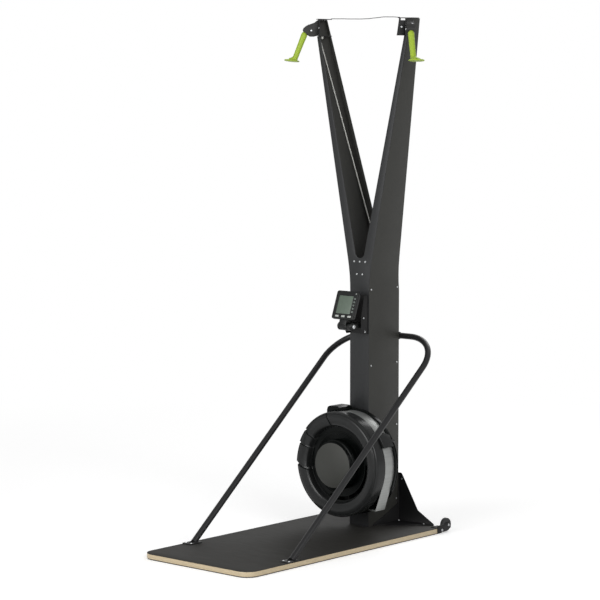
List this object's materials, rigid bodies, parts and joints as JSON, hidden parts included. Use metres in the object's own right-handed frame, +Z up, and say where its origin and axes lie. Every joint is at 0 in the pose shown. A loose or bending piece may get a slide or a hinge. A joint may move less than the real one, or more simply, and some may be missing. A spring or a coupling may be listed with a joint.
{
  "type": "ski ergometer",
  "caption": "Standing ski trainer: forked sheet-metal column on a flat deck with bent brace tubes, a round fan housing, a tilting monitor and pull handles on cords at the arm tops.",
  "frame": {"origin": "middle of the machine's outline seen from above, on the floor", "axes": "+Z up, +Y from the user to the column, +X to the user's right"},
  "size_m": [0.7294, 1.27, 2.1617],
  "materials": {
    "frame_paint": "charcoal powder coat, fine texture",
    "frame_front_paint": "charcoal powder coat, fine texture",
    "black_paint": "black powder coat",
    "tube_paint": "matt black powder coat",
    "deck_face": "dark textured film",
    "plywood": "varnished birch plywood edge",
    "pad_rubber": "matt rubber sheet",
    "grip_plastic": "lime green moulded grip",
    "cord": "braided light cord",
    "shock_cord": "braided black elastic cord",
    "housing_plastic": "satin black moulded plastic",
    "pulley_nylon": "moulded nylon",
    "steel": "machined steel",
    "screen_mesh": "perforated sheet",
    "display": "liquid crystal display window",
    "key": "pale rubber key",
    "wheel_rubber": "solid rubber"
  },
  "bodies": {
    "frame": {"deck_pad": "pad_rubber", "deck_board": "plywood", "deck_sheet": "deck_face", "front_panel": "frame_front_paint", "side_panel_right": "frame_paint", "side_panel_left": "frame_paint", "rear_cover": "frame_paint", "crotch_plate": "black_paint", "column_foot": "black_paint", "rear_bracket": "black_paint", "wheel_bracket_right": "black_paint", "wheel_bracket_left": "black_paint", "brace_tube_right": "tube_paint", "brace_tube_left": "tube_paint", "brace_clamp": "black_paint", "pulley_bracket_right": "black_paint", "pulley_bracket_left": "black_paint", "pulley_housing_right": "housing_plastic", "pulley_housing_left": "housing_plastic", "drive_cord_right": "cord", "drive_cord_left": "cord", "shock_cord_right": "shock_cord", "shock_cord_left": "shock_cord", "return_plate": "black_paint", "tie_cable": "shock_cord", "rear_housing": "housing_plastic", "screen_band": "screen_mesh", "front_housing": "housing_plastic", "centre_cap": "housing_plastic", "rear_bearing": "steel", "front_bearing": "steel", "monitor_yoke": "housing_plastic", "monitor_bracket": "black_paint"},
    "flywheel": {"flywheel": "steel", "axle": "steel"},
    "cord_drum_left": {"cord_drum_left": "pulley_nylon"},
    "cord_drum_right": {"cord_drum_right": "pulley_nylon"},
    "damper": {"damper_ring": "housing_plastic"},
    "monitor": {"monitor_case": "housing_plastic", "monitor_screen": "display"},
    "handle_right": {"handle_right": "grip_plastic", "handle_cord_right": "cord"},
    "top_pulley_right": {"top_pulley_right": "pulley_nylon"},
    "arm_foot_pulley_right": {"arm_foot_pulley_right": "pulley_nylon"},
    "return_pulley_right": {"return_pulley_right": "pulley_nylon"},
    "transport_wheel_right": {"transport_wheel_right": "wheel_rubber"},
    "handle_left": {"handle_left": "grip_plastic", "handle_cord_left": "cord"},
    "top_pulley_left": {"top_pulley_left": "pulley_nylon"},
    "arm_foot_pulley_left": {"arm_foot_pulley_left": "pulley_nylon"},
    "return_pulley_left": {"return_pulley_left": "pulley_nylon"},
    "transport_wheel_left": {"transport_wheel_left": "wheel_rubber"},
    "menu_button_1": {"menu_button_1": "key"},
    "menu_button_2": {"menu_button_2": "key"},
    "menu_button_3": {"menu_button_3": "key"},
    "side_button_1": {"side_button_1": "key"},
    "side_button_2": {"side_button_2": "key"},
    "side_button_3": {"side_button_3": "key"},
    "side_button_4": {"side_button_4": "key"},
    "side_button_5": {"side_button_5": "key"}
  },
  "joints": [
    {"name": "flywheel_spin", "type": "hinge", "parent": "frame", "child": "flywheel", "pos_m": [0, 0.325, 0.303], "axis": [0, 1, 0], "continuous": true},
    {"name": "handle_right_pull", "type": "slide", "parent": "frame", "child": "handle_right", "axis": [0.2592, -0.2592, -0.9304], "range_m": [0, 1.2], "stiffness_N_per_m": 15, "springref_m": -0.8, "deforming": ["handle_cord_right"]},
    {"name": "top_pulley_right_turn", "type": "hinge", "parent": "frame", "child": "top_pulley_right", "pos_m": [0.2685, 0.3665, 2.108], "axis": [0.7071, 0.7071, 0], "range_deg": [0, 3440]},
    {"name": "arm_foot_pulley_right_turn", "type": "hinge", "parent": "frame", "child": "arm_foot_pulley_right", "pos_m": [0.027, 0.535, 1.1], "axis": [0, 1, 0], "range_deg": [0, 4586]},
    {"name": "cord_drum_right_turn", "type": "hinge", "parent": "frame", "child": "cord_drum_right", "pos_m": [0, 0.504, 0.303], "axis": [0, 1, 0], "range_deg": [0, 2294]},
    {"name": "return_pulley_right_turn", "type": "hinge", "parent": "frame", "child": "return_pulley_right", "pos_m": [0.03, 0.5195, 0.9], "axis": [0, -1, 0], "range_deg": [0, 3962]},
    {"name": "transport_wheel_right_roll", "type": "hinge", "parent": "frame", "child": "transport_wheel_right", "pos_m": [0.2783, 0.607, 0.03], "axis": [1, 0, 0], "continuous": true},
    {"name": "handle_left_pull", "type": "slide", "parent": "frame", "child": "handle_left", "axis": [-0.2592, -0.2592, -0.9304], "range_m": [0, 1.2], "stiffness_N_per_m": 15, "springref_m": -0.8, "deforming": ["handle_cord_left"]},
    {"name": "top_pulley_left_turn", "type": "hinge", "parent": "frame", "child": "top_pulley_left", "pos_m": [-0.2685, 0.3665, 2.108], "axis": [0.7071, -0.7071, 0], "range_deg": [0, 3440]},
    {"name": "arm_foot_pulley_left_turn", "type": "hinge", "parent": "frame", "child": "arm_foot_pulley_left", "pos_m": [-0.027, 0.535, 1.1], "axis": [0, -1, 0], "range_deg": [0, 4586]},
    {"name": "cord_drum_left_turn", "type": "hinge", "parent": "frame", "child": "cord_drum_left", "pos_m": [0, 0.452, 0.303], "axis": [0, 1, 0], "range_deg": [0, 2294]},
    {"name": "return_pulley_left_turn", "type": "hinge", "parent": "frame", "child": "return_pulley_left", "pos_m": [0.03, 0.4365, 0.9], "axis": [0, -1, 0], "range_deg": [0, 3962]},
    {"name": "transport_wheel_left_roll", "type": "hinge", "parent": "frame", "child": "transport_wheel_left", "pos_m": [-0.2783, 0.607, 0.03], "axis": [1, 0, 0], "continuous": true},
    {"name": "damper_turn", "type": "hinge", "parent": "frame", "child": "damper", "pos_m": [0, 0.352, 0.303], "axis": [0, 1, 0], "range_deg": [0, 50]},
    {"name": "monitor_tilt", "type": "hinge", "parent": "frame", "child": "monitor", "pos_m": [0, 0.277, 0.88], "axis": [1, 0, 0], "range_deg": [-10, 20]},
    {"name": "menu_button_1_press", "type": "slide", "parent": "monitor", "child": "menu_button_1", "axis": [0, 0.9385, -0.3453], "range_m": [0, 0.001], "stiffness_N_per_m": 300, "springref_m": -0.001},
    {"name": "menu_button_2_press", "type": "slide", "parent": "monitor", "child": "menu_button_2", "axis": [0, 0.9385, -0.3453], "range_m": [0, 0.001], "stiffness_N_per_m": 300, "springref_m": -0.001},
    {"name": "menu_button_3_press", "type": "slide", "parent": "monitor", "child": "menu_button_3", "axis": [0, 0.9385, -0.3453], "range_m": [0, 0.001], "stiffness_N_per_m": 300, "springref_m": -0.001},
    {"name": "side_button_1_press", "type": "slide", "parent": "monitor", "child": "side_button_1", "axis": [0, 0.9385, -0.3453], "range_m": [0, 0.001], "stiffness_N_per_m": 300, "springref_m": -0.001},
    {"name": "side_button_2_press", "type": "slide", "parent": "monitor", "child": "side_button_2", "axis": [0, 0.9385, -0.3453], "range_m": [0, 0.001], "stiffness_N_per_m": 300, "springref_m": -0.001},
    {"name": "side_button_3_press", "type": "slide", "parent": "monitor", "child": "side_button_3", "axis": [0, 0.9385, -0.3453], "range_m": [0, 0.001], "stiffness_N_per_m": 300, "springref_m": -0.001},
    {"name": "side_button_4_press", "type": "slide", "parent": "monitor", "child": "side_button_4", "axis": [0, 0.9385, -0.3453], "range_m": [0, 0.001], "stiffness_N_per_m": 300, "springref_m": -0.001},
    {"name": "side_button_5_press", "type": "slide", "parent": "monitor", "child": "side_button_5", "axis": [0, 0.9385, -0.3453], "range_m": [0, 0.001], "stiffness_N_per_m": 300, "springref_m": -0.001}
  ],
  "couplings": [
    {"joint": "top_pulley_right_turn", "follows": "handle_right_pull", "rad_per_m": 50},
    {"joint": "arm_foot_pulley_right_turn", "follows": "handle_right_pull", "rad_per_m": 66.667},
    {"joint": "cord_drum_right_turn", "follows": "handle_right_pull", "rad_per_m": 33.333},
    {"joint": "return_pulley_right_turn", "follows": "handle_right_pull", "rad_per_m": 57.576},
    {"joint": "top_pulley_left_turn", "follows": "handle_left_pull", "rad_per_m": 50},
    {"joint": "arm_foot_pulley_left_turn", "follows": "handle_left_pull", "rad_per_m": 66.667},
    {"joint": "cord_drum_left_turn", "follows": "handle_left_pull", "rad_per_m": 33.333},
    {"joint": "return_pulley_left_turn", "follows": "handle_left_pull", "rad_per_m": 57.576}
  ]
}
